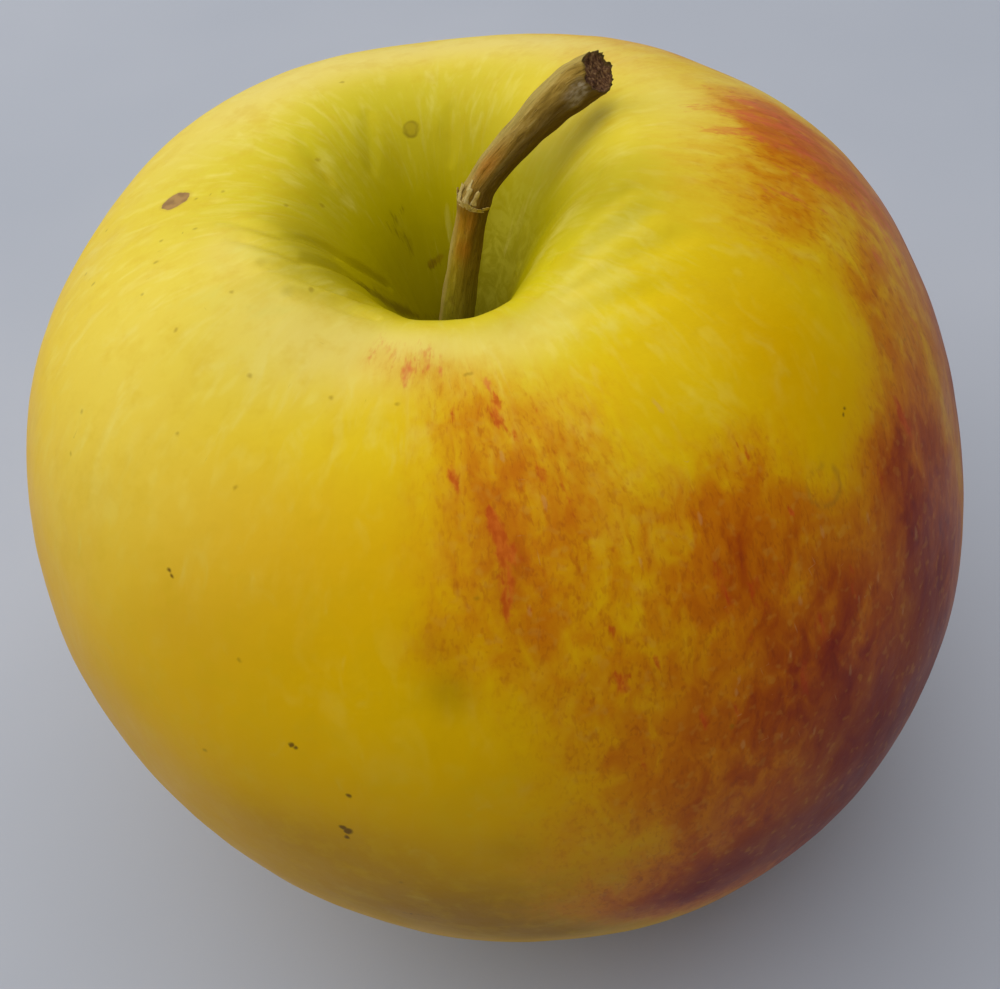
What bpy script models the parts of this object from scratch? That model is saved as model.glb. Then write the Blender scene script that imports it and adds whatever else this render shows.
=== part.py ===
import math

import bmesh
import bpy
from mathutils import Vector
from mathutils.geometry import interpolate_bezier

# A whole dessert apple standing on its base, with its stalk and the dried calyx underneath.
# Metres, +Z up. The origin is on the surface it stands on, below the middle of its box.

MM = 0.001

# Half section of the body, from the stalk's pit over the rim and the widest ring to the basin
WIDEST_RADIUS = 40.0 * MM
WIDEST_HEIGHT = 38.5 * MM
RIM_RADIUS = 14.8 * MM
RIM_HEIGHT = 69.9 * MM
PIT_RADIUS = 2.4 * MM
CAVITY_DEPTH = 16.6 * MM
FOOT_RADIUS = 13.7 * MM
BASIN_DEPTH = 9.0 * MM

# How far each bend of the half section runs on before it turns
PIT_WALL_RUN = 5.6 * MM
PIT_WALL_LEAN = math.radians(26)
RIM_INNER_RUN = 7.5 * MM
RIM_OUTER_RUN = 15.3 * MM
WIDEST_RUN_UP = 17.0 * MM
WIDEST_RUN_DOWN = 19.6 * MM
FOOT_OUTER_RUN = 10.4 * MM
FOOT_INNER_RUN = 7.0 * MM
BASIN_FLOOR_RUN = 6.0 * MM

# The core leans: the cavity sits to one side of the basin
CROWN_SHIFT = Vector((-3.6, 0.0)) * MM
BASE_SHIFT = Vector((1.45, 0.0)) * MM

# Unevenness round the body: waves in a turn, how far they rise, and the angle of one crest
CROWN_WAVES = ((1, 1.54 * MM, 12), (2, 1.67 * MM, 9), (3, 0.70 * MM, -16), (5, 0.38 * MM, -15))
GIRTH_WAVES = ((2, 0.74 * MM, -68), (3, 0.51 * MM, 3), (4, 0.19 * MM, 28))

# Five lobes under the apple, each pressed flat where it touches the surface that it stands on
LOBES = 5
LOBE_HEIGHT = 1.2 * MM
LOBE_ANGLE = 20
REST_DEPTH = 0.6 * MM

BODY_SIDES = 80
CAVITY_ROWS = 12
SHOULDER_ROWS = 12
FLANK_ROWS = 12
BASIN_ROWS = 8

# Stalk: its middle line from the pit to the broken end in mm, with the radius at each place.
# Like the half section, it is measured from the foot before that is pressed flat
STALK_ROUTE = (
    ((-4.05, -0.05, 54.00), 1.42),
    ((-3.50, 0.20, 57.30), 1.38),
    ((-2.40, 0.80, 62.45), 1.25),
    ((-1.35, 1.30, 66.45), 1.16),
    ((-1.00, 1.50, 67.85), 1.32),
    ((-0.30, 1.75, 68.95), 1.18),
    ((1.20, 2.20, 70.55), 1.27),
    ((3.05, 2.75, 72.20), 1.38),
    ((5.10, 3.45, 73.75), 1.46),
    ((7.10, 4.20, 74.85), 1.52),
    ((9.00, 5.00, 75.35), 1.42),
)
STALK_STEPS = 4
STALK_BEVEL_STEPS = 4

# Calyx: a short dried crown of five sepals, just clear of the basin's floor
GAP = 0.3 * MM
CALYX_NECK_RADIUS = 1.5 * MM
CALYX_WAIST_RADIUS = 2.3 * MM
CALYX_TIP_RADIUS = 3.3 * MM
CALYX_HEIGHT = 4.2 * MM
CALYX_HOLLOW = 1.8 * MM
CALYX_LIP = 0.3 * MM
CALYX_SIDES = 40
SEPALS = 5
SEPAL_POINT = 0.28

SKIN_COLOUR = (0.72, 0.50, 0.03, 1.0)
STALK_COLOUR = (0.20, 0.12, 0.03, 1.0)
CALYX_COLOUR = (0.10, 0.06, 0.03, 1.0)


def smoothStep(share):
    share = min(max(share, 0.0), 1.0)
    return share * share * (3.0 - 2.0 * share)


def waveSum(waves, angle):
    """How far the unevenness rises at this angle round the body."""
    return sum(rise * math.cos(turns * (angle - math.radians(crest))) for turns, rise, crest in waves)


def stretch(start, startHandle, endHandle, end, rows):
    """The points of one bend of the half section, without its last one."""
    places = (Vector((radius, 0.0, height)) for radius, height in (start, startHandle, endHandle, end))
    return interpolate_bezier(*places, rows + 1)[:-1]


def bodySection():
    """The half section, from the middle of the pit's floor to the middle of the basin."""
    pitHeight = RIM_HEIGHT - CAVITY_DEPTH
    pit = (PIT_RADIUS, pitHeight)
    rim = (RIM_RADIUS, RIM_HEIGHT)
    widest = (WIDEST_RADIUS, WIDEST_HEIGHT)
    foot = (FOOT_RADIUS, 0.0)
    basin = (0.0, BASIN_DEPTH)
    pitHandle = (PIT_RADIUS + PIT_WALL_RUN * math.sin(PIT_WALL_LEAN),
                 pitHeight + PIT_WALL_RUN * math.cos(PIT_WALL_LEAN))
    points = [Vector((0.0, 0.0, pitHeight))]
    points += stretch(pit, pitHandle, (RIM_RADIUS - RIM_INNER_RUN, RIM_HEIGHT), rim, CAVITY_ROWS)
    points += stretch(rim, (RIM_RADIUS + RIM_OUTER_RUN, RIM_HEIGHT),
                      (WIDEST_RADIUS, WIDEST_HEIGHT + WIDEST_RUN_UP), widest, SHOULDER_ROWS)
    points += stretch(widest, (WIDEST_RADIUS, WIDEST_HEIGHT - WIDEST_RUN_DOWN),
                      (FOOT_RADIUS + FOOT_OUTER_RUN, 0.0), foot, FLANK_ROWS)
    points += stretch(foot, (FOOT_RADIUS - FOOT_INNER_RUN, 0.0), (BASIN_FLOOR_RUN, BASIN_DEPTH), basin, BASIN_ROWS)
    points.append(Vector((0.0, 0.0, BASIN_DEPTH)))
    return points


def turnedMesh(section, sides):
    """The section turned once round Z, closed where it meets the axis."""
    bm = bmesh.new()
    verts = [bm.verts.new(point) for point in section]
    edges = [bm.edges.new(pair) for pair in zip(verts, verts[1:])]
    bmesh.ops.spin(bm, geom=verts + edges, cent=(0, 0, 0), axis=(0, 0, 1), angle=2 * math.pi,
                   steps=sides, use_merge=True)
    bmesh.ops.remove_doubles(bm, verts=bm.verts, dist=MM / 1000)
    bmesh.ops.recalc_face_normals(bm, faces=bm.faces)
    return bm


def unevenBody(bm):
    """Leans the core, raises the crown's waves, widens the girth's and presses the foot flat."""
    for vert in bm.verts:
        radius = math.hypot(vert.co.x, vert.co.y)
        angle = math.atan2(vert.co.y, vert.co.x)
        height = vert.co.z
        above = height > WIDEST_HEIGHT
        inCavity = above and radius < RIM_RADIUS
        inBasin = not above and radius < FOOT_RADIUS
        if inCavity:
            crown, lift, foot = 1.0, smoothStep(radius / RIM_RADIUS), 0.0
        elif inBasin:
            crown, lift, foot = 0.0, 0.0, smoothStep(radius / FOOT_RADIUS)
        else:
            crown = smoothStep(height / RIM_HEIGHT)
            lift = smoothStep((height - WIDEST_HEIGHT) / (RIM_HEIGHT - WIDEST_HEIGHT))
            foot = smoothStep(1.0 - height / WIDEST_HEIGHT) ** 3
        spread = radius + waveSum(GIRTH_WAVES, angle) * radius / WIDEST_RADIUS
        middle = BASE_SHIFT.lerp(CROWN_SHIFT, crown)
        lobe = LOBE_HEIGHT * (1.0 - math.cos(LOBES * (angle - math.radians(LOBE_ANGLE)))) / 2.0
        height += waveSum(CROWN_WAVES, angle) * lift + lobe * foot
        vert.co = (middle.x + spread * math.cos(angle), middle.y + spread * math.sin(angle),
                   max(height - REST_DEPTH, 0.0))


def material(name, colour, roughness):
    made = bpy.data.materials.new(name)
    made.use_nodes = True
    shader = made.node_tree.nodes["Principled BSDF"]
    shader.inputs["Base Color"].default_value = colour
    shader.inputs["Roughness"].default_value = roughness
    shader.inputs["Metallic"].default_value = 0.0
    made.diffuse_color = colour
    return made


def meshObject(name, bm, finish):
    mesh = bpy.data.meshes.new(name)
    bm.to_mesh(mesh)
    bm.free()
    mesh.shade_smooth()
    mesh.materials.append(finish)
    return bpy.data.objects.new(name, mesh)


def makeBody():
    """Skin and flesh in one solid: the cavity and the basin are open dimples in it."""
    bm = turnedMesh(bodySection(), BODY_SIDES)
    unevenBody(bm)
    return meshObject("apple_body", bm, material("skin", SKIN_COLOUR, 0.35))


def makeStalk():
    """A woody stalk with a knee, thicker towards the end where it broke from the tree."""
    curve = bpy.data.curves.new("stem", "CURVE")
    curve.dimensions = "3D"
    curve.bevel_depth = MM
    curve.bevel_resolution = STALK_BEVEL_STEPS
    curve.resolution_u = STALK_STEPS
    curve.use_fill_caps = True
    spline = curve.splines.new("BEZIER")
    spline.bezier_points.add(len(STALK_ROUTE) - 1)
    for point, (place, radius) in zip(spline.bezier_points, STALK_ROUTE):
        point.co = Vector(place) * MM - Vector((0.0, 0.0, REST_DEPTH))
        point.radius = radius
        point.handle_left_type = point.handle_right_type = "AUTO"
    curve.materials.append(material("stalk", STALK_COLOUR, 0.7))
    return bpy.data.objects.new("stem", curve)


def makeCalyx():
    """A star of dried sepals round a hollow, with its neck up against the basin's floor."""
    neckHeight = BASIN_DEPTH - REST_DEPTH - GAP
    section = [
        Vector((0.0, 0.0, neckHeight)),
        Vector((CALYX_NECK_RADIUS, 0.0, neckHeight)),
        Vector((CALYX_WAIST_RADIUS, 0.0, neckHeight - CALYX_HEIGHT / 2)),
        Vector((CALYX_TIP_RADIUS, 0.0, neckHeight - CALYX_HEIGHT)),
        Vector((CALYX_WAIST_RADIUS, 0.0, neckHeight - CALYX_HEIGHT + CALYX_LIP)),
        Vector((0.0, 0.0, neckHeight - CALYX_HEIGHT + CALYX_HOLLOW)),
    ]
    bm = turnedMesh(section, CALYX_SIDES)
    for vert in bm.verts:
        share = (neckHeight - vert.co.z) / CALYX_HEIGHT
        angle = math.atan2(vert.co.y, vert.co.x)
        stretched = 1.0 + SEPAL_POINT * share * math.cos(SEPALS * (angle - math.radians(LOBE_ANGLE)))
        vert.co.x = vert.co.x * stretched + BASE_SHIFT.x
        vert.co.y = vert.co.y * stretched + BASE_SHIFT.y
    return meshObject("calyx", bm, material("calyx", CALYX_COLOUR, 0.8))


def boxMiddle(body):
    """The middle of the box round the body, on the surface that it stands on."""
    places = [vert.co for vert in body.data.vertices]
    middles = [(min(place[axis] for place in places) + max(place[axis] for place in places)) / 2
               for axis in range(2)]
    return Vector((*middles, 0.0))


def main():
    for obj in list(bpy.data.objects):
        bpy.data.objects.remove(obj, do_unlink=True)
    collection = bpy.data.collections.new("apple")
    bpy.context.scene.collection.children.link(collection)
    body = makeBody()
    middle = bpy.data.objects.new("apple_middle", None)
    collection.objects.link(middle)
    middle.location = -boxMiddle(body)
    for piece in (body, makeStalk(), makeCalyx()):
        collection.objects.link(piece)
        piece.parent = middle


main()
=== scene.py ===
import math
import random
from functools import partial

import bmesh
import bpy
import numpy as np
from mathutils import Matrix, Vector, noise
from mathutils.bvhtree import BVHTree
from mathutils.geometry import interpolate_bezier


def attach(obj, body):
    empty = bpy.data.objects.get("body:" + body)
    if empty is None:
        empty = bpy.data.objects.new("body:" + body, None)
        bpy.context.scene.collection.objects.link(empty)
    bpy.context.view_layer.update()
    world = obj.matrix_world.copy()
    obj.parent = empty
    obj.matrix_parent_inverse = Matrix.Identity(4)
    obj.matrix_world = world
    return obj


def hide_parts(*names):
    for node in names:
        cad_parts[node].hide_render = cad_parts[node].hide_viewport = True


# A ripe yellow apple with a red cheek. Lengths in the dictionaries are millimetres, angles are
# degrees, and pixels are those of a 1000 x 989 picture taken by the camera below.

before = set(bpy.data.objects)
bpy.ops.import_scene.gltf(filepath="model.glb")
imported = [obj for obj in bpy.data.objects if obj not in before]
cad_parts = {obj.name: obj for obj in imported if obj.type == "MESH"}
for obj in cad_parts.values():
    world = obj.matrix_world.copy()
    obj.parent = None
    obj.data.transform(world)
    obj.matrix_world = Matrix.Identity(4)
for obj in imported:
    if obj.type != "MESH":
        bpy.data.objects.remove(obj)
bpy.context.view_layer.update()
mm = 0.001
random.seed(7)


def smoothStep(share):
    share = min(max(share, 0.0), 1.0)
    return share * share * (3.0 - 2.0 * share)


def fadeIn(low, high, value):  # the same curve between two limits, for one number or an array
    share = np.clip((np.asarray(value) - low) / (high - low), 0.0, 1.0)
    return share * share * (3.0 - 2.0 * share)


def tint(red, green, blue):  # a colour as a screen shows it, 0 to 255, made linear
    shares = (red / 255.0, green / 255.0, blue / 255.0)
    return tuple(s / 12.92 if s <= 0.04045 else ((s + 0.055) / 1.055) ** 2.4 for s in shares) + (1.0,)


# Camera: above the near side, leaning a little, so the apple tips left in the picture
view = {
    "place": (0.970, -80.934, 131.166),
    "elevation": 50.1,
    "aimSide": -0.81,
    "aimUp": 0.10,
    "roll": -6.0,
    "angle": 40.0,
    "picture": (1000, 989),
}


def cameraAxes():
    lift = math.radians(view["elevation"])
    back = Vector((0.0, -math.cos(lift), math.sin(lift)))
    level = Vector((1.0, 0.0, 0.0))
    ahead = -back + math.tan(math.radians(view["aimSide"])) * level
    ahead = (ahead + math.tan(math.radians(view["aimUp"])) * back.cross(level)).normalized()
    level = (level - ahead * level.dot(ahead)).normalized()
    upright = level.cross(ahead)
    roll = math.radians(view["roll"])
    right = math.cos(roll) * level + math.sin(roll) * upright
    return right, right.cross(ahead), ahead


def makeCamera():
    right, upwards, ahead = cameraAxes()
    camera = bpy.data.objects.new("camera", bpy.data.cameras.new("camera"))
    camera.matrix_world = Matrix((right, upwards, -ahead)).transposed().to_4x4()
    camera.location = Vector(view["place"]) * mm
    camera.data.sensor_fit = "HORIZONTAL"
    camera.data.angle = math.radians(view["angle"])
    camera.data.clip_start = 0.01
    camera.data.clip_end = 20.0
    bpy.context.scene.collection.objects.link(camera)
    bpy.context.scene.camera = camera


def pixelRay(column, row):  # the line of sight through one pixel
    right, upwards, ahead = cameraAxes()
    width, height = view["picture"]
    reach = width / 2 / math.tan(math.radians(view["angle"] / 2))
    aside, above = (column - width / 2) / reach, (height / 2 - row) / reach
    return Vector(view["place"]) * mm, (ahead + aside * right + above * upwards).normalized()


makeCamera()
print("camera set")


# Nodes
def addNode(tree, kind, settings=(), **inputs):
    made = tree.nodes.new(kind)
    for name, value in dict(settings).items():
        setattr(made, name, value)
    for name, value in inputs.items():
        plug(tree, value, made.inputs[name.replace("_", " ")])
    return made


def plug(tree, value, socket):  # a socket is linked, anything else is typed in
    if isinstance(value, bpy.types.NodeSocket):
        tree.links.new(value, socket)
    else:
        socket.default_value = value


def sums(tree, operation, *values):  # one step of arithmetic on sockets and numbers
    made = addNode(tree, "ShaderNodeMath", {"operation": operation})
    for value, socket in zip(values, made.inputs):
        plug(tree, value, socket)
    return made.outputs[0]


def vectorSums(tree, operation, *values, output="Vector"):  # the same on vectors
    made = addNode(tree, "ShaderNodeVectorMath", {"operation": operation})
    for value, socket in zip(values, made.inputs):
        plug(tree, value, socket)
    return made.outputs[output]


def swayed(tree, base, share, swing):  # a value that a noise moves up and down by a share
    return sums(tree, "MULTIPLY_ADD", sums(tree, "SUBTRACT", swing, 0.5), share, base)


def between(tree, value, low, high, out=(0.0, 1.0)):  # a soft step from low to high
    made = addNode(tree, "ShaderNodeMapRange", {"interpolation_type": "SMOOTHSTEP"}, Value=value)
    for name, number in zip(("From Min", "From Max", "To Min", "To Max"), (low, high, *out)):
        plug(tree, number, made.inputs[name])
    return made.outputs[0]


def mixTints(tree, share, first, second):  # a colour is a socket, or three numbers as for tint
    made = addNode(tree, "ShaderNodeMix", {"data_type": "RGBA"})
    for value, name in ((share, "Factor_Float"), (first, "A_Color"), (second, "B_Color")):
        value = tint(*value) if isinstance(value, tuple) else value
        plug(tree, value, next(s for s in made.inputs if s.identifier == name))
    return next(s for s in made.outputs if s.identifier == "Result_Color")


def laid(tree, colour, *layers):  # colours laid over one another, each after its share
    for share, over in layers:
        colour = mixTints(tree, share, colour, over)
    return colour


def ramp(tree, value, *stops):  # each stop: place, then the colour's three numbers
    made = addNode(tree, "ShaderNodeValToRGB", Fac=value)
    row = made.color_ramp
    while len(row.elements) < len(stops):
        row.elements.new(0.5)
    for element, (place, *colour) in zip(row.elements, stops):
        element.position, element.color = place, tint(*colour)
    return made.outputs["Color"]


def attribute(tree, name, output="Fac"):
    return addNode(tree, "ShaderNodeAttribute", {"attribute_name": name}).outputs[output]


def stretched(tree, vector, scale, offset=(0.0, 0.0, 0.0)):
    return addNode(tree, "ShaderNodeMapping", Vector=vector, Location=offset, Scale=scale).outputs[0]


def noiseOf(tree, vector, scale=1.0, detail=2.0, roughness=0.5, distortion=0.0):
    return addNode(tree, "ShaderNodeTexNoise", Vector=vector, Scale=scale, Detail=detail,
                   Roughness=roughness, Distortion=distortion).outputs["Fac"]


def grainNoises(tree, grain, noises):  # each: scale and offset on the grain, then as for noiseOf
    return (noiseOf(tree, stretched(tree, grain, scale, offset), 1.0, *rest)
            for scale, offset, *rest in noises.values())


def newMaterial(name):
    made = bpy.data.materials.new(name)
    made.use_nodes = True
    return made, made.node_tree, made.node_tree.nodes["Principled BSDF"]


def bumpOf(tree, height, distance, strength):
    return addNode(tree, "ShaderNodeBump", Height=height, Distance=distance, Strength=strength).outputs[0]


# Body: the section runs from the stalk's pit over the rim and the widest ring to the basin
apple = {
    "pit": (2.4, 53.3),                 # radius and height
    "rim": (14.8, 69.9),
    "widest": (40.0, 38.5),
    "foot": (13.7, 0.0),
    "basin": (0.0, 9.0),
    "pitWall": (5.6, 26),               # how far it runs up, and its lean
    "rimRuns": (7.5, 15.3),
    "widestRuns": (17.0, 19.6),
    "footRuns": (10.4, 7.0),
    "basinRun": 6.0,
    "crownShift": (-3.6, 0.0),
    "baseShift": (1.45, 0.0),
    "crownWaves": ((1, 1.54, 12), (2, 1.67, 9), (3, 0.70, -16), (5, 0.38, -15)),
    "girthWaves": ((2, 0.74, -68), (3, 0.51, 3), (4, 0.19, 28)),
    "lobes": (5, 1.2, 20),              # how many, how high and where the first gap is
    "restDepth": 0.6,
    "sides": 100,
    "cuts": 3,                          # new edges between two sides
    "rows": (62, 72, 62, 26),           # cavity, shoulder, flank, basin
    "floorRows": 4,
}


def bend(start, startHandle, endHandle, end, rows):
    places = (Vector((radius, 0.0, height)) for radius, height in (start, startHandle, endHandle, end))
    return interpolate_bezier(*places, rows + 1)[:-1]


def appleSection():
    (pitRun, pitLean), rows = apple["pitWall"], apple["rows"]
    pit, rim, widest, foot, basin = (apple[name] for name in ("pit", "rim", "widest", "foot", "basin"))
    lean = math.radians(pitLean)
    pitHandle = (pit[0] + pitRun * math.sin(lean), pit[1] + pitRun * math.cos(lean))
    steps = apple["floorRows"]
    points = [Vector((pit[0] * step / steps, 0.0, pit[1])) for step in range(steps)]
    points += bend(pit, pitHandle, (rim[0] - apple["rimRuns"][0], rim[1]), rim, rows[0])
    points += bend(rim, (rim[0] + apple["rimRuns"][1], rim[1]),
                   (widest[0], widest[1] + apple["widestRuns"][0]), widest, rows[1])
    points += bend(widest, (widest[0], widest[1] - apple["widestRuns"][1]),
                   (foot[0] + apple["footRuns"][0], 0.0), foot, rows[2])
    points += bend(foot, (foot[0] - apple["footRuns"][1], 0.0), (apple["basinRun"], basin[1]), basin, rows[3])
    return points + [Vector((0.0, 0.0, basin[1]))]


def waveSum(waves, angle):
    return sum(rise * math.cos(turns * (angle - math.radians(crest))) for turns, rise, crest in waves)


def unevenPlace(radius, angle, height):  # the core leans, the crown and girth wave, the foot is flat
    lobes, lobeHeight, lobeAngle = apple["lobes"]
    widest, rim, foot = apple["widest"], apple["rim"], apple["foot"]
    if height > widest[1] and radius < rim[0]:
        crown, lift, pressed = 1.0, smoothStep(radius / rim[0]), 0.0
    elif height <= widest[1] and radius < foot[0]:
        crown, lift, pressed = 0.0, 0.0, smoothStep(radius / foot[0])
    else:
        crown = smoothStep(height / rim[1])
        lift = smoothStep((height - widest[1]) / (rim[1] - widest[1]))
        pressed = smoothStep(1.0 - height / widest[1]) ** 3
    spread = radius + waveSum(apple["girthWaves"], angle) * radius / widest[0]
    middle = Vector(apple["baseShift"]).lerp(Vector(apple["crownShift"]), crown)
    lobe = lobeHeight * (1.0 - math.cos(lobes * (angle - math.radians(lobeAngle)))) / 2.0
    height += waveSum(apple["crownWaves"], angle) * lift + lobe * pressed
    return Vector((middle.x + spread * math.cos(angle), middle.y + spread * math.sin(angle),
                   max(height - apple["restDepth"], 0.0)))


def spinRound(bm, verts, steps):  # a line of points turned right round the upright axis
    edges = [bm.edges.new(pair) for pair in zip(verts, verts[1:])]
    bmesh.ops.spin(bm, geom=verts + edges, cent=(0, 0, 0), axis=(0, 0, 1), angle=2 * math.pi,
                   steps=steps, use_merge=True)
    bmesh.ops.remove_doubles(bm, verts=bm.verts, dist=mm)


def appleMesh():
    bm = bmesh.new()
    along, ring, turn = (bm.verts.layers.float.new(name) for name in ("along", "ring", "turn"))
    points = appleSection()
    verts = [bm.verts.new(point) for point in points]
    reach = 0.0
    for vert, before in zip(verts, [points[0]] + points):
        reach += (vert.co - before).length
        vert[along], vert[ring] = reach, vert.co.x
    spinRound(bm, verts, apple["sides"])
    level = [e for e in bm.edges if abs(e.verts[0][along] - e.verts[1][along]) < mm]
    bmesh.ops.subdivide_edges(bm, edges=level, cuts=apple["cuts"])
    for vert in bm.verts:
        vert[turn] = math.atan2(vert.co.y, vert.co.x)
        vert.co = unevenPlace(vert[ring], vert[turn], vert.co.z)
    low, high = (Vector(f(v.co[i] for v in bm.verts) for i in range(3)) for f in (min, max))
    middle = (low + high) / 2
    for vert in bm.verts:
        vert.co = (vert.co - Vector((middle.x, middle.y, 0.0))) * mm
    bmesh.ops.recalc_face_normals(bm, faces=bm.faces)
    bm.normal_update()
    return bm, Vector((middle.x, middle.y, 0.0))


def smoothObject(name, bm, material):
    mesh = bpy.data.meshes.new(name)
    bm.to_mesh(mesh)
    bm.free()
    mesh.shade_smooth()
    mesh.materials.append(material)
    made = bpy.data.objects.new(name, mesh)
    bpy.context.scene.collection.objects.link(made)
    return made


def appleObject(name, bm, material, node):
    made = smoothObject(name, bm, material)
    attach(made, "root")
    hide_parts(node)
    return made


bodyMesh, boxMiddle = appleMesh()
bodyTree = BVHTree.FromBMesh(bodyMesh)
bodyMesh.faces.ensure_lookup_table()
print("body turned:", len(bodyMesh.verts), "points, box middle", tuple(round(x, 3) for x in boxMiddle))


def skinSpot(column, row):  # where a pixel's line of sight meets the skin: turn, along, ring, place
    place, _, index, _ = bodyTree.ray_cast(*pixelRay(column, row))
    if place is None:
        raise ValueError(f"pixel {column}, {row} misses the apple")
    along, ring, turn = (bodyMesh.verts.layers.float[name] for name in ("along", "ring", "turn"))
    corners = bodyMesh.faces[index].verts
    shares = [1.0 / ((vert.co - place).length + 1e-7) for vert in corners]
    total = sum(shares)
    sine = sum(share * math.sin(vert[turn]) for vert, share in zip(corners, shares))
    cosine = sum(share * math.cos(vert[turn]) for vert, share in zip(corners, shares))
    reach, radius = (sum(share * vert[layer] for vert, share in zip(corners, shares)) / total
                     for layer in (along, ring))
    return math.atan2(sine, cosine), reach, radius, place


def hiddenSpot(turn, reach):  # the same for a place given by its turn and its way from the pit
    points = appleSection()
    way = 0.0
    for before, after in zip(points, points[1:]):
        way += (after - before).length
        if way >= reach:
            break
    return math.radians(turn), reach, after.x, None


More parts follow.
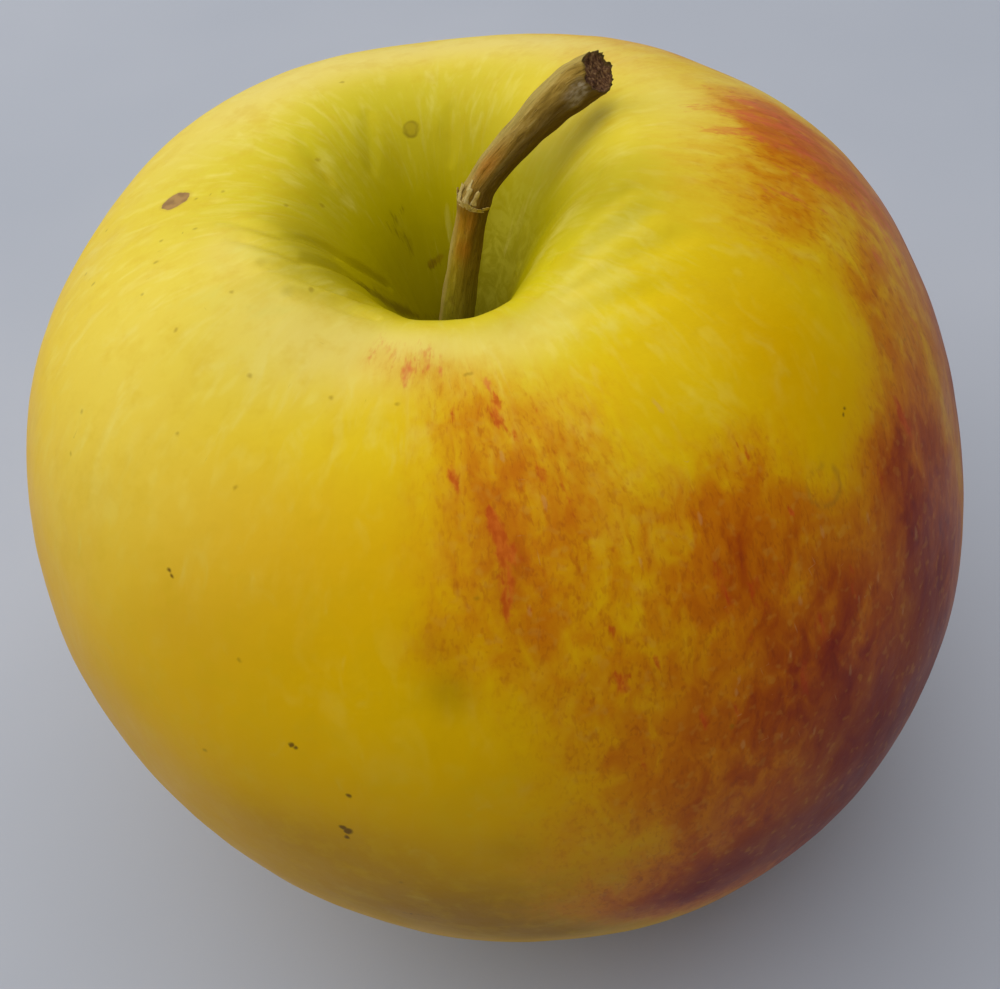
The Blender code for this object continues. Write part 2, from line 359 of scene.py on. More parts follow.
# What the skin shows. Each patch: pixel, half its width round the body, half along it, amount
skinPaint = {
    "blush": (
        (500, 450, 4.8, 8, 0.17), (470, 405, 3.6, 3, 0.16), (398, 364, 3.8, 2.2, 0.2),
        (506, 560, 2.8, 6.5, 0.26), (560, 490, 5, 7, 0.18), (600, 470, 4.5, 5, 0.1), (570, 640, 7, 8, 0.17),
        (620, 700, 6, 7, 0.2), (440, 650, 3, 2.4, 0.16), (680, 780, 5, 6, 0.3), (560, 850, 6, 5, 0.24),
        (740, 495, 4.6, 6, 0.16), (722, 585, 4.4, 7.5, 0.4), (790, 580, 6, 8, 0.48), (780, 700, 8, 8, 0.6),
        (860, 640, 6.5, 9, 0.66), (740, 820, 7, 6.5, 0.6), (900, 480, 4.5, 9, 0.56), (938, 560, 5, 14, 0.72),
        (880, 740, 8, 8, 0.85), (820, 830, 8, 7, 0.86), (700, 890, 7, 6, 0.78), (905, 330, 3.6, 7, 0.28),
        (770, 118, 5.6, 4, 0.5), (835, 165, 5, 5, 0.48), (785, 205, 6, 3.4, 0.3), (590, 58, 5, 1.6, 0.1),
        (860, 260, 5, 4.6, 0.18), (600, 900, 7, 4, 0.34), (590, 770, 6, 6, 0.18), (945, 470, 3, 14, 0.46),
        (940, 640, 4, 10, 0.6), (690, 155, 6, 5, 0.15), (740, 205, 6, 4, 0.12), (440, 500, 4, 9, 0.15),
        (470, 625, 5, 7, 0.14), (600, 560, 4, 7, 0.14), (690, 85, 7, 3, 0.08), (770, 425, 6, 4, 0.12),
        (600, 385, 4, 4, 0.12), (640, 350, 4, 3, 0.1),
    ),
    "hiddenBlush": (                    # turn, way from the pit, then as above
        (4, 62, 15, 17, 0.92), (-12, 82, 17, 16, 0.95), (-48, 92, 14, 13, 0.85), (42, 54, 11, 18, 0.72),
        (30, 80, 14, 14, 0.75), (66, 45, 8, 10, 0.42), (72, 72, 9, 17, 0.5), (-80, 100, 9, 9, 0.35),
        (100, 62, 6, 14, 0.28), (128, 80, 6, 12, 0.18), (-150, 96, 7, 10, 0.14), (10, 104, 12, 9, 0.55),
    ),
    "gaps": (                           # places that stay yellow between the red ones
        (815, 345, 4.5, 6.5, 0.75), (835, 425, 3.4, 3.4, 0.44), (650, 410, 2.6, 5, 0.25),
        (690, 300, 6, 5, 0.6), (480, 340, 5, 1.4, 0.5), (745, 640, 2.5, 3.5, 0.3), (795, 590, 2, 4, 0.3),
    ),
    "deep": (
        (925, 600, 4.5, 10, 0.6), (850, 740, 6, 7, 0.6), (820, 700, 6, 6, 0.25), (800, 830, 6, 4, 0.8),
        (725, 872, 5, 3, 0.8), (948, 480, 2.5, 12, 0.2), (760, 850, 7, 5, 0.7), (890, 730, 8, 8, 0.75),
        (630, 915, 5, 3, 0.5), (915, 650, 5, 8, 0.45),
    ),
    "hiddenDeep": (
        (5, 66, 14, 17, 0.75), (-32, 86, 15, 12, 0.85), (30, 72, 9, 13, 0.4),
    ),
    "warm": (
        (310, 565, 14, 9, 0.6), (200, 640, 8, 6, 0.3), (400, 400, 6, 3, 0.25), (600, 330, 6, 5, 0.2),
        (740, 320, 7, 8, 0.45), (820, 400, 6, 7, 0.6), (655, 420, 3.5, 5, 0.45), (450, 560, 6, 8, 0.3),
    ),
    "bruise": (
        (453, 695, 1.5, 1.8, 0.7), (437, 646, 1.8, 1.2, 0.25), (510, 850, 2.2, 1.8, 0.35),
        (505, 590, 1.6, 4, 0.2),
    ),
    "green": (
        (400, 190, 12, 8, 0.5), (600, 230, 7, 6, 0.3), (540, 280, 5, 4, 0.7), (280, 190, 8, 7, 0.45),
        (360, 110, 10, 5, 0.5), (560, 345, 7, 3, 0.3), (350, 320, 7, 2.5, 0.35), (200, 160, 8, 6, 0.3),
        (640, 400, 4, 6, 0.15), (500, 250, 4, 5, 0.6),
    ),
    # Painted shade: olive patches darkening the cavity's far wall, the folds at the near rim and the skin in
    # the stalk's soft shadow
    "paintedShade": (
        (335, 190, 8, 5, 0.34), (400, 130, 8, 4.5, 0.24), (465, 125, 6, 4.5, 0.24), (300, 235, 6, 3.2, 0.45),
        (590, 190, 3, 6, 0.5), (340, 275, 5, 2.4, 0.45), (310, 268, 5, 2.4, 0.2), (440, 125, 3, 3, 0.1),
        (420, 85, 8, 2.6, 0.15), (515, 320, 4, 2, 0.25),
    ),
    # Painted highlights and sheen: paler skin on the far crest, the left shoulder, the near rim and the
    # cavity walls beside the stalk
    "pale": (
        (420, 50, 14, 3.4, 0.75), (540, 42, 9, 3, 0.8), (300, 78, 9, 4, 0.6), (200, 130, 9, 5, 0.4),
        (600, 60, 8, 3, 0.5), (140, 440, 12, 11, 0.24), (110, 330, 9, 8, 0.2), (398, 346, 6, 2.2, 0.75),
        (225, 250, 3.4, 2, 0.45), (520, 350, 5, 2, 0.3), (60, 520, 7, 9, 0.12), (300, 325, 6, 2.6, 0.4),
        (255, 345, 6, 3, 0.35), (340, 360, 7, 2.4, 0.45), (690, 105, 6, 4, 0.4), (540, 160, 3, 3, 0.3),
        (530, 325, 6, 2, 0.4),
    ),
    "worn": (                           # rough grey-green skin beside the stalk
        (494, 262, 2.4, 6, 0.8), (522, 252, 2.6, 4, 0.55), (484, 305, 2.5, 2.5, 0.4),
        (526, 182, 3.2, 4, 0.55),
    ),
    # Painted shade: brown that darkens the bottom of the apple
    "bottomShade": (
        (470, 916, 14, 6.5, 0.8), (640, 900, 10, 6, 0.75), (330, 850, 9, 4.5, 0.4), (590, 928, 9, 3, 0.6),
    ),
}

# Strokes: the pixels they run through, half width, amount
skinStrokes = {
    "redStroke": (
        ((453, 400), (455, 426), 0.34, 0.62), ((494, 390), (496, 404), (500, 428), 0.42, 0.9),
        ((509, 426), (516, 444), 0.34, 0.72), ((540, 458), (543, 474), (549, 496), 0.28, 0.85),
        ((534, 408), (544, 426), 0.3, 0.58), ((450, 464), (454, 480), (461, 495), 0.36, 0.8),
        ((488, 508), (496, 530), (504, 548), 0.48, 1), ((501, 541), (508, 553), (514, 560), 0.78, 1.05),
        ((508, 554), (510, 582), (507, 604), (508, 630), 0.5, 0.88), ((560, 470), (575, 520), 0.25, 0.5),
        ((612, 620), (610, 640), 0.32, 0.55), ((616, 672), (622, 688), (629, 702), 0.72, 0.72),
        ((530, 590), (534, 640), 0.22, 0.45), ((789, 502), (792, 510), (794, 522), 0.26, 1.1),
        ((712, 560), (722, 580), (733, 620), 0.95, 0.5), ((744, 565), (752, 582), (764, 614), 0.8, 0.52),
        ((746, 632), (760, 652), 0.55, 0.56), ((818, 610), (828, 652), 0.6, 0.72),
        ((700, 470), (712, 510), 0.34, 0.55), ((738, 440), (752, 480), 0.4, 0.55),
        ((893, 395), (912, 440), 0.6, 0.8), ((690, 560), (696, 590), 0.28, 0.6),
        ((640, 745), (646, 775), 0.34, 0.55), ((700, 700), (706, 740), 0.45, 0.6),
        ((655, 640), (660, 680), 0.3, 0.55), ((780, 560), (786, 600), 0.45, 0.62),
        ((850, 560), (858, 610), 0.45, 0.66), ((436, 470), (440, 500), 0.22, 0.42),
        ((570, 620), (576, 665), 0.28, 0.48), ((800, 655), (806, 700), 0.55, 0.7),
        ((735, 690), (740, 730), 0.36, 0.64), ((875, 450), (884, 500), 0.45, 0.68),
        ((590, 480), (600, 505), 0.28, 0.45), ((660, 800), (668, 840), 0.45, 0.6),
    ),
    "pinkStroke": (
        ((409, 362), (407, 374), (404, 386), 0.5, 0.9), ((375, 350), (370, 368), 0.4, 0.55),
        ((388, 338), (394, 362), 1.5, 0.44), ((422, 344), (430, 380), 1.3, 0.42),
        ((690, 108), (740, 114), (790, 132), (832, 160), 1.3, 0.66),
        ((704, 128), (750, 134), (800, 152), (850, 184), 1.2, 0.6),
        ((730, 99), (770, 112), (812, 136), 0.8, 0.6), ((440, 362), (446, 385), 0.4, 0.6),
        ((740, 182), (790, 196), (838, 220), 1, 0.5), ((770, 165), (830, 190), (872, 222), 1, 0.56),
        ((480, 375), (492, 392), 0.5, 0.64), ((860, 235), (890, 276), 0.9, 0.56),
        ((820, 148), (868, 196), (900, 250), 0.9, 0.6),
        ((704, 86), (745, 102), (786, 124), (836, 166), 1.2, 0.6),
        ((836, 166), (878, 222), (908, 286), 1.2, 0.56), ((905, 300), (928, 360), 1, 0.5),
    ),
    "paleStroke": (                     # soft waxy streaks in and beside the cavity
        ((522, 285), (552, 236), (585, 200), 0.9, 0.62), ((540, 300), (590, 246), (640, 212), 1.1, 0.58),
        ((565, 305), (620, 272), (675, 252), 1.1, 0.52), ((505, 250), (524, 212), (546, 180), 0.6, 0.5),
        ((318, 150), (328, 170), 0.8, 0.6), ((344, 190), (352, 205), 0.6, 0.5),
        ((446, 205), (450, 240), 0.45, 0.42), ((430, 96), (432, 124), 0.8, 0.45),
        ((480, 96), (476, 132), 0.9, 0.45), ((275, 172), (300, 182), 0.9, 0.55),
        ((222, 248), (250, 252), (284, 262), 0.9, 0.66), ((300, 268), (332, 284), (356, 298), 0.7, 0.6),
        ((186, 300), (226, 296), 1.1, 0.5), ((240, 316), (290, 312), 1, 0.55),
        ((530, 330), (580, 318), 1.1, 0.5), ((600, 160), (636, 144), 1, 0.5),
        ((590, 330), (640, 314), 1.1, 0.42), ((125, 330), (150, 312), 1.1, 0.36),
        ((200, 380), (236, 352), 1.1, 0.34), ((150, 200), (186, 190), 1.1, 0.34),
    ),
    # Russet streaks and spots beside the stalk; the four strokes along the near rim, from (336, 268) to (452,
    # 320), are painted shadow in the same brown
    "russetAndShadow": (
        ((388, 212), (396, 218), (398, 232), (408, 242), (412, 258), 0.46, 0.6),
        ((384, 222), (392, 228), (391, 240), 0.4, 0.5), ((402, 204), (404, 216), 0.24, 0.66),
        ((370, 292), (392, 306), (418, 316), 0.7, 1), ((372, 282), (380, 300), 0.3, 0.7),
        ((392, 310), (420, 318), (452, 320), 0.5, 0.55), ((336, 268), (360, 282), (384, 300), 0.5, 0.75),
        ((430, 269), (434, 263), (439, 257), 0.44, 0.78),
    ),
}
creases = (                             # furrows that run down into the cavity
    ((236, 236), (300, 258), (372, 292), 0.6, 1), ((262, 262), (320, 282), (384, 310), 0.5, 1),
    ((228, 220), (280, 234), (336, 256), 0.6, 0.8), ((292, 292), (336, 304), (372, 318), 0.55, 0.9),
    ((214, 254), (252, 268), 0.6, 0.6), ((300, 236), (350, 262), (388, 286), 0.45, 0.8),
    ((520, 262), (556, 206), (596, 172), 0.6, 0.6), ((540, 290), (596, 246), (650, 214), 0.65, 0.6),
    ((566, 292), (630, 256), (690, 236), 0.6, 0.45), ((548, 262), (590, 216), (630, 190), 0.5, 0.5),
    ((560, 318), (620, 300), (670, 290), 0.6, 0.4), ((452, 108), (450, 160), 0.6, 0.5),
    ((368, 112), (372, 170), 0.6, 0.5), ((300, 134), (330, 180), 0.6, 0.5),
)


def fieldOf(skin, patches, spotOf, start=None):  # soft patches laid over each other
    left = np.ones(len(skin["turn"])) if start is None else 1.0 - start
    for *place, across, along, amount in patches:
        aside, onward = awayFrom(skin, spotOf(*place))
        left *= 1.0 - amount * np.exp(-((aside / across) ** 2 + (onward / along) ** 2) ** 1.1)
    return 1.0 - left


def awayFrom(skin, spot):  # how far each point of the skin lies from a spot, in mm
    turn = np.angle(np.exp(1j * (skin["turn"] - spot[0])))
    return turn * (skin["ring"] + spot[2]) / 2, skin["along"] - spot[1]


def strokeField(skin, strokes):  # 1 on a stroke's middle line, 0.5 at its edge, 0 beyond
    field = np.zeros(len(skin["turn"]))
    for *pixels, half, amount in strokes:
        spots = [skinSpot(*pixel) for pixel in pixels]
        aside, onward = awayFrom(skin, spots[0])
        line = [(math.remainder(spot[0] - spots[0][0], 2 * math.pi) * (spot[2] + spots[0][2]) / 2,
                 spot[1] - spots[0][1]) for spot in spots]
        for number, ((x0, y0), (x1, y1)) in enumerate(zip(line, line[1:])):
            run = max((x1 - x0) ** 2 + (y1 - y0) ** 2, 1e-6)
            share = np.clip(((aside - x0) * (x1 - x0) + (onward - y0) * (y1 - y0)) / run, 0.0, 1.0)
            far = np.hypot(aside - x0 - share * (x1 - x0), onward - y0 - share * (y1 - y0))
            whole = (number + share) / (len(line) - 1)
            swell = np.sin(np.pi * np.clip(whole * 0.86 + 0.07, 0.0, 1.0))
            width = half * (0.45 + 0.55 * swell)
            field = np.maximum(field, amount * (0.72 + 0.28 * swell) * (1.0 - far / (2.0 * width)))
    return field


def readSkin(mesh):
    skin = {}
    for name in ("along", "ring", "turn"):
        values = np.zeros(len(mesh.vertices), np.float32)
        mesh.attributes[name].data.foreach_get("value", values)
        skin[name] = values.astype(float)
    return skin


def writeField(mesh, name, values):  # one number or one vector for each point
    kind, key = ("FLOAT", "value") if values.ndim == 1 else ("FLOAT_VECTOR", "vector")
    made = mesh.attributes.new(name, kind, "POINT")
    made.data.foreach_set(key, values.astype(np.float32).ravel())


skinRelief = {
    "noises": ((95.0, 0.16), (260.0, 0.035), (520.0, 0.016)),   # how fine, and height
    "folds": 0.18,
    "creases": 0.40,
    "bruise": (452, 698, 1.9, 2.6, 0.16),                       # as a patch, with its depth last
}


def reliefOf(skin, places):  # how far the skin stands out or sinks, in mm
    folds = np.array([noise.noise(Vector((math.cos(t) * 4.5, math.sin(t) * 4.5, a * 0.12)))
                      for t, a in zip(skin["turn"], skin["along"])])
    inCavity = fadeIn(2.0, 8.0, skin["along"]) * (1.0 - fadeIn(16.0, 34.0, skin["along"]))
    relief = skinRelief["folds"] * folds * inCavity
    for fineness, height in skinRelief["noises"]:
        relief += height * np.array([noise.noise(Vector(place) * fineness) for place in places])
    column, row, across, along, depth = skinRelief["bruise"]
    aside, onward = awayFrom(skin, skinSpot(column, row))
    relief -= depth * np.exp(-(aside / across) ** 2 - (onward / along) ** 2)
    return relief - skinRelief["creases"] * np.clip(strokeField(skin, creases), 0.0, 1.0)


# The skin unrolled in mm, its streaks drawn a little aside on the red cheek
skinGrain = {"radius": 34.0, "drawnPast": 38.0, "drawn": 0.0085, "cheekTurn": -0.61, "cheekHalf": 0.87}


def grainOf(turn, along):
    grain = skinGrain
    cheek = np.exp(-((turn - grain["cheekTurn"]) / grain["cheekHalf"]) ** 2)
    drawn = turn + grain["drawn"] * np.maximum(along - grain["drawnPast"], 0.0) * cheek
    return np.stack([grain["radius"] * np.cos(drawn), grain["radius"] * np.sin(drawn), along], -1)


def shapeSkin(made):
    mesh = made.data
    skin = readSkin(mesh)
    count = len(mesh.vertices)
    places, normals = np.zeros(count * 3, np.float32), np.zeros(count * 3, np.float32)
    mesh.vertices.foreach_get("co", places)
    mesh.vertices.foreach_get("normal", normals)
    places, normals = places.reshape(-1, 3), normals.reshape(-1, 3)
    relief = reliefOf(skin, places)
    onFloor = places[:, 2] < 0.05 * mm
    relief[onFloor] = 0.0
    moved = places + normals * (relief * mm)[:, None]
    moved[:, 2] = np.maximum(moved[:, 2], 0.0)
    mesh.vertices.foreach_set("co", moved.astype(np.float32).ravel())
    mesh.update()
    paintSkin(mesh, skin)
    writeField(mesh, "grain", grainOf(skin["turn"], skin["along"]))
    scatterMarks(mesh, places, skin)


def paintSkin(mesh, skin):
    along = skin["along"]
    fields = {name: strokeField(skin, strokes) for name, strokes in skinStrokes.items()}
    for name in ("blush", "gaps", "deep", "green", "bruise", "paintedShade", "pale", "worn", "bottomShade"):
        fields[name] = fieldOf(skin, skinPaint[name], skinSpot)
    fields["blush"] = fieldOf(skin, skinPaint["hiddenBlush"], hiddenSpot, fields["blush"])
    fields["blush"] *= 1.0 - fields.pop("gaps")
    fields["deep"] = fieldOf(skin, skinPaint["hiddenDeep"], hiddenSpot, fields["deep"])
    fields["green"] = np.maximum(fields["green"], 0.8 * (1.0 - fadeIn(12.0, 25.0, along)))     # the cavity
    fields["green"] = np.maximum(fields["green"], 0.55 * fadeIn(116.0, 128.0, along))          # the basin
    fields["warm"] = fieldOf(skin, skinPaint["warm"], skinSpot, 0.95 * fadeIn(27.0, 66.0, along))
    # painted shade in the cavity: full near the pit, gone 26 mm from it
    fields["depth"] = 1.0 - fadeIn(2.0, 26.0, along)
    for name, values in fields.items():
        writeField(mesh, name, values)


# Specks and scars: pixel, diameter in pixels, but for a pore half its width in mm
skinMarks = {
    "speck": (
        (170, 570, 3), (172, 575, 3), (291, 745, 5), (296, 748, 4), (349, 796, 4), (343, 828, 7),
        (348, 832, 9), (347, 838, 5), (844, 409, 2), (843, 415, 2), (411, 914, 2),
    ),
    "faint": (
        (196, 229, 3), (107, 231, 2), (162, 241, 3), (86, 274, 3), (94, 284, 3), (142, 294, 2),
        (175, 330, 3), (82, 412, 2), (332, 398, 3), (177, 434, 2), (71, 453, 2), (239, 660, 3),
        (206, 750, 4), (401, 883, 3), (476, 598, 3), (235, 487, 3), (398, 405, 3), (471, 374, 3),
        (466, 375, 3), (905, 340, 2), (732, 727, 4), (695, 855, 3), (312, 289, 4), (318, 157, 3),
        (342, 82, 3), (404, 913, 2), (418, 915, 3), (426, 916, 2), (433, 917, 2), (286, 205, 3),
        (322, 205, 3), (156, 262, 3), (232, 292, 2), (250, 376, 3), (196, 200, 2), (224, 192, 2),
        (432, 264, 8), (437, 260, 6), (441, 256, 4),
    ),
    "pore": (
        (823, 533, 0.11), (916, 535, 0.12), (879, 579, 0.11), (801, 600, 0.11), (853, 669, 0.11),
        (739, 680, 0.1), (743, 745, 0.1), (780, 738, 0.1), (815, 730, 0.11), (868, 518, 0.09),
        (656, 406, 0.12), (502, 455, 0.09), (640, 560, 0.09), (700, 520, 0.09), (545, 505, 0.09),
        (530, 612, 0.1), (737, 690, 0.1), (790, 655, 0.09), (905, 610, 0.1), (860, 600, 0.09),
    ),
    "scab": ((176, 202, 27), (180, 200, 22), (171, 204, 19)),
    "ring": ((411, 128, 13), (411, 131, 12)),
    "scar": ((825, 486, 40),),
}


def markSpot(column, row, across):  # the middle and half width of a round mark
    spot = skinSpot(column, row)[3]
    sight = (spot - Vector(view["place"]) * mm).length
    return spot, across / 2 * sight * 2 * math.tan(math.radians(view["angle"] / 2)) / view["picture"][0]


def marksOf(tree, place, marks):  # how far outside the nearest mark, in metres
    nearest = None
    for mark in marks:
        spot, half = markSpot(*mark)
        edge = sums(tree, "SUBTRACT", vectorSums(tree, "DISTANCE", place, spot, output="Value"), half)
        nearest = edge if nearest is None else sums(tree, "MINIMUM", nearest, edge)
    return nearest


def writeMarks(mesh, name, places, spots, halves):  # each point's way from its nearest mark
    ways = places[:, None] - np.array(spots)
    nearest = (np.linalg.norm(ways, axis=2) - halves).argmin(1)
    writeField(mesh, name + "Way", ways[np.arange(len(ways)), nearest])
    writeField(mesh, name + "Half", np.array(halves)[nearest])


def scatterMarks(mesh, places, skin):  # the many small marks that stand well apart
    writeMarks(mesh, "faint", places, *zip(*(markSpot(*mark) for mark in skinMarks["faint"])))
    drawn = (1.0, 1.0, 0.45)            # pores are drawn out along the meridian
    pores = [(*skinSpot(column, row), half) for column, row, half in skinMarks["pore"]]
    writeMarks(mesh, "pore", grainOf(skin["turn"], skin["along"]) * drawn,
               [grainOf(turn, along) * drawn for turn, along, _, _, _ in pores],
               [half * skinGrain["radius"] / ring for _, _, ring, _, half in pores])


def scatteredMarks(tree, name, wobble=(0.0, 0.0, 0.0)):  # how far outside the nearest one
    way = vectorSums(tree, "ADD", attribute(tree, name + "Way", "Vector"), wobble)
    return sums(tree, "SUBTRACT", vectorSums(tree, "LENGTH", way, output="Value"),
                attribute(tree, name + "Half"))


# Noises on the unrolled skin: scale, offset, detail, roughness, distortion
skinNoises = {
    "broad": ((0.22, 0.22, 0.06), (0, 0, 0), 3.0, 0.6),
    "streak": ((0.80, 0.80, 0.24), (5, 2, 1), 4.0, 0.62, 0.7),
    "dash": ((1.7, 1.7, 1.2), (1, 8, 3), 2.0, 0.55, 0.3),
    "fleck": ((3.1, 3.1, 1.5), (4, 3, 7), 1.0, 0.5, 0.4),
    "blotch": ((0.48, 0.48, 0.34), (7, 4, 9), 3.0, 0.55, 0.6),
    "worm": ((0.95, 0.95, 0.55), (2, 6, 5), 1.0, 0.5, 1.2),
    "soft": ((0.34, 0.34, 0.16), (8, 1, 6), 4.0, 0.62, 0.8),
    "wax": ((0.62, 0.62, 0.42), (3, 9, 4), 1.5, 0.5, 0.3),
}
placeNoises = {                         # through the apple: scale, detail, roughness, distortion
    "cloud": (150.0, 3.0, 0.6),
    "mottle": (420.0, 3.0, 0.65),
    "rough": (640.0, 3.0, 0.65, 1.4),
    "fine": (900.0, 2.0, 0.6),
    "freckle": (1250.0, 1.0, 0.5),
}
skinFinish = {"wobble": 0.35, "roughness": (0.38, 0.48), "ior": 1.22, "gloss": (1.0, 0.88, 0.26, 1.0),
              "bump": (0.08, 0.35)}


def skinMaterial():
    made, tree, shader = newMaterial("apple skin")
    step, mix, lay, times, absolute = (
        partial(between, tree), partial(mixTints, tree), partial(laid, tree),
        partial(sums, tree, "MULTIPLY"), partial(sums, tree, "ABSOLUTE"))
    grain = attribute(tree, "grain", "Vector")
    place = addNode(tree, "ShaderNodeTexCoord").outputs["Object"]
    blush, deep, green, warm, bruise, depth, paintedShade, pale, worn, bottomShade = (attribute(tree, name) for name in (
        "blush", "deep", "green", "warm", "bruise", "depth", "paintedShade", "pale", "worn", "bottomShade"))
    redStroke, pinkStroke, paleStroke, russetAndShadow = (attribute(tree, name) for name in skinStrokes)
    broad, streak, dash, fleck, blotch, worm, soft, wax = grainNoises(tree, grain, skinNoises)
    cloud, mottle, rough, fine, freckle = (noiseOf(tree, place, *rest) for rest in placeNoises.values())

    # The yellow ground, from the lowest layer up, with painted shade and painted highlights among its layers
    cream = times(step(soft, 0.50, 0.78), step(warm, 0.7, 0.0, (0.06, 0.46)))
    waxy = times(step(wax, 0.52, 0.76, (0.0, 0.34)), step(warm, 0.8, 0.1, (0.10, 1.0)))
    speckle = times(step(mottle, 0.54, 0.32), step(broad, 0.3, 0.7, (0.14, 0.26)))
    # Painted shade in the cavity: the ground turns a darker olive towards the pit
    hollowShade = ramp(tree, depth, (0.0, 214, 198, 8), (0.40, 196, 182, 2), (0.70, 170, 158, 2),
                  (1.0, 160, 148, 4))
    scratched = times(worn, step(rough, 0.38, 0.64, (0.40, 1.0)))
    ground = lay(
        ramp(tree, warm, (0.0, 242, 219, 62), (0.35, 243, 208, 20), (0.70, 237, 187, 0), (1.0, 225, 169, 0)),
        (green, (222, 208, 14)),
        (step(broad, 0.45, 0.75, (0.0, 0.16)), (224, 164, 6)),
        (cream, (248, 234, 126)),
        (waxy, (250, 234, 112)),
        # painted highlights and sheen
        (times(pale, 0.82), (250, 228, 132)),
        # painted shade at the bottom, brown
        (bottomShade, (158, 108, 0)),
        (speckle, (226, 186, 20)),
        # painted shade in the cavity, deepening towards the pit
        (step(depth, 0.04, 0.50), hollowShade),
        # painted shade in olive
        (paintedShade, (160, 147, 2)),
        (scratched, (212, 204, 62)),
        (step(swayed(tree, paleStroke, 1.6, blotch), 0.12, 0.95, (0.0, 0.40)), (236, 226, 116)))

    # The cheek: a thin wash is ochre, a thick one brick red, and maroon where it is thickest
    wash = swayed(tree, swayed(tree, 0.95, 1.15, blotch), 0.14, streak)
    density = swayed(tree, sums(tree, "MULTIPLY_ADD", deep, 0.14, times(blush, wash)), 0.07, dash)
    shade = ramp(tree, density, (0.0, 236, 178, 8), (0.28, 226, 152, 10), (0.48, 210, 120, 12),
                 (0.66, 186, 86, 12), (0.84, 160, 58, 20), (1.0, 138, 40, 28))
    shade = mix(step(deep, 0.15, 0.95, (0.0, 0.62)), shade, (120, 30, 34))
    inRed = step(blush, 0.08, 0.45)
    dashTint = mix(density, (202, 100, 14), (116, 30, 20))
    dashes = times(step(dash, 0.54, 0.68, (0.0, 0.34)), step(streak, 0.38, 0.58))
    thread = step(absolute(sums(tree, "SUBTRACT", worm, 0.5)), 0.050, 0.0)
    thread = times(thread, step(streak, 0.46, 0.62, (0.0, 0.10)))
    stroke = mix(deep, mix(step(dash, 0.35, 0.62), (222, 98, 34), (200, 72, 22)), (142, 42, 26))
    torn = sums(tree, "SUBTRACT", sums(tree, "ADD", streak, dash), 1.0)
    redEdge, pinkEdge, russetAndShadowEdge = (
        sums(tree, "MULTIPLY_ADD", torn, share, field)
        for share, field in ((0.85, redStroke), (0.75, pinkStroke), (0.9, russetAndShadow)))
    colour = lay(
        ground,
        (step(density, 0.02, 0.46), shade),
        (times(dashes, inRed), dashTint),
        (times(step(fleck, 0.57, 0.70, (0.0, 0.28)), inRed), dashTint),
        (times(thread, inRed), mix(density, (196, 98, 24), (120, 34, 22))),
        (times(step(freckle, 0.58, 0.74, (0.0, 0.27)), inRed), mix(density, (232, 180, 60), (196, 120, 44))),
        (step(redEdge, 0.32, 0.74, (0.0, 0.74)), stroke),
        (step(pinkEdge, 0.30, 0.78, (0.0, 0.70)), (226, 108, 64)),
        (times(bruise, 0.50), (146, 108, 10)),
        # russet, and painted shadow along the near rim
        (step(russetAndShadowEdge, 0.30, 0.85, (0.0, 0.62)), (98, 78, 18)))

    # Marks, their edges made uneven
    jitter = addNode(tree, "ShaderNodeTexNoise", Vector=place, Scale=1500.0, Detail=1.0).outputs["Color"]
    reach = skinFinish["wobble"] * mm
    wobble = vectorSums(tree, "MULTIPLY_ADD", jitter, (reach,) * 3, (-reach / 2,) * 3)
    jittered = vectorSums(tree, "ADD", place, wobble)
    speck, crust, ring, scar = (marksOf(tree, jittered, skinMarks[name])
                                for name in ("speck", "scab", "ring", "scar"))
    faint = scatteredMarks(tree, "faint", wobble)
    pore = swayed(tree, scatteredMarks(tree, "pore"), 0.5, dash)
    rim = times(step(absolute(ring), 0.00024, 0.0, (0.0, 0.60)), step(mottle, 0.3, 0.6, (0.3, 1.0)))
    halo = times(step(absolute(scar), 0.00040, 0.0, (0.0, 0.30)), step(blotch, 0.4, 0.6))
    crustTint = mix(step(freckle, 0.35, 0.65), (146, 106, 74), (176, 134, 86))
    colour = lay(
        colour,
        (step(pore, 0.14, -0.06, (0.0, 0.26)), (214, 164, 104)),
        (step(faint, 0.00018, -0.00008, (0.0, 0.42)), (142, 106, 14)),
        (step(speck, 0.00014, -0.00008, (0.0, 0.85)), (96, 62, 20)),
        (step(ring, 0.00012, -0.00010, (0.0, 0.42)), (150, 126, 20)),
        (rim, (104, 80, 16)),
        (halo, (150, 110, 40)),
        (step(crust, 0.00040, 0.00005, (0.0, 0.30)), (206, 170, 60)),
        (step(crust, 0.00006, -0.00006, (0.0, 0.92)), crustTint))
    plug(tree, colour, shader.inputs["Base Color"])

    plug(tree, step(cloud, 0.3, 0.7, skinFinish["roughness"]), shader.inputs["Roughness"])
    shader.inputs["IOR"].default_value = skinFinish["ior"]
    shader.inputs["Specular Tint"].default_value = skinFinish["gloss"]
    bumpDepth, strength = skinFinish["bump"]
    plug(tree, bumpOf(tree, fine, bumpDepth * mm, strength), shader.inputs["Normal"])
    return made


skin = appleObject("apple_skin", bodyMesh.copy(), skinMaterial(), "apple_body")
shapeSkin(skin)
print("skin painted")


